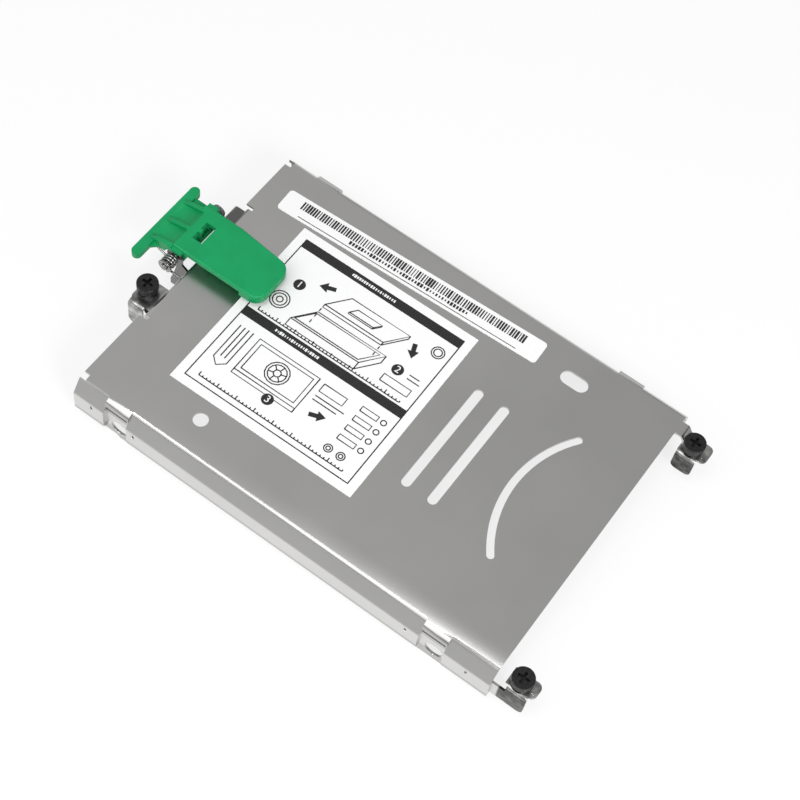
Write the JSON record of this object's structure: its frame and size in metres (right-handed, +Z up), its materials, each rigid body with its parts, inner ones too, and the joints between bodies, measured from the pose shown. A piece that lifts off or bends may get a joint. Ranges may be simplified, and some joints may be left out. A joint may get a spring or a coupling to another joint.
{
  "type": "laptop drive caddy",
  "caption": "Folded stainless tray that carries a 2.5 inch drive in a portable computer, with a sprung ejector lever and captive screws.",
  "frame": {"origin": "middle of the caddy's footprint, on the level its side walls stand on", "axes": "+X from the latch end to the connector end, +Y to the back, +Z up out of the plate"},
  "size_m": [0.119, 0.0728, 0.0154],
  "materials": {
    "stainless_sheet": "rolled stainless sheet, satin, brighter on the bends",
    "green_plastic": "moulded green plastic with a fine matt texture",
    "bright_steel": "bright drawn steel wire and turned pin",
    "black_steel": "black oxide, slightly oily",
    "black_plastic": "black moulded nylon",
    "label_white": "white film label, faint sheen",
    "label_ink": "black print"
  },
  "bodies": {
    "tray_body": {"tray": "stainless_sheet", "pivot_pin": "bright_steel", "pivot_clip": "bright_steel", "torsion_spring": "bright_steel", "barcode_label": "label_white", "barcode_print": "label_ink", "instruction_label": "label_white", "instruction_print": "label_ink"},
    "lever_body": {"lever": "green_plastic"},
    "latch_carrier": {"latch_collar": "black_plastic"},
    "latch_turn": {"latch_screw": "black_steel", "latch_ring": "bright_steel"},
    "front_carrier": {"front_collar": "black_plastic"},
    "front_turn": {"front_screw": "black_steel", "front_ring": "bright_steel"},
    "rear_carrier": {"rear_collar": "black_plastic"},
    "rear_turn": {"rear_screw": "black_steel", "rear_ring": "bright_steel"}
  },
  "joints": [
    {"name": "lever_pivot", "type": "hinge", "parent": "tray_body", "child": "lever_body", "pos_m": [-0.0523, 0.00615, 0.012], "axis": [0, -1, 0], "range_deg": [0, 85], "stiffness_Nm_per_rad": 0.004, "springref_deg": -28.65, "deforming": ["torsion_spring"]},
    {"name": "latch_lift", "type": "slide", "parent": "tray_body", "child": "latch_carrier", "axis": [0, 0, 1], "range_m": [0, 0.0014]},
    {"name": "latch_turning", "type": "hinge", "parent": "latch_carrier", "child": "latch_turn", "pos_m": [-0.0522, -0.00965, 0.012], "axis": [0, 0, 1], "continuous": true},
    {"name": "front_lift", "type": "slide", "parent": "tray_body", "child": "front_carrier", "axis": [0, 0, 1], "range_m": [0, 0.0014]},
    {"name": "front_turning", "type": "hinge", "parent": "front_carrier", "child": "front_turn", "pos_m": [0.05575, -0.03309, 0.012], "axis": [0, 0, 1], "continuous": true},
    {"name": "rear_lift", "type": "slide", "parent": "tray_body", "child": "rear_carrier", "axis": [0, 0, 1], "range_m": [0, 0.0014]},
    {"name": "rear_turning", "type": "hinge", "parent": "rear_carrier", "child": "rear_turn", "pos_m": [0.05575, 0.02915, 0.012], "axis": [0, 0, 1], "continuous": true}
  ]
}
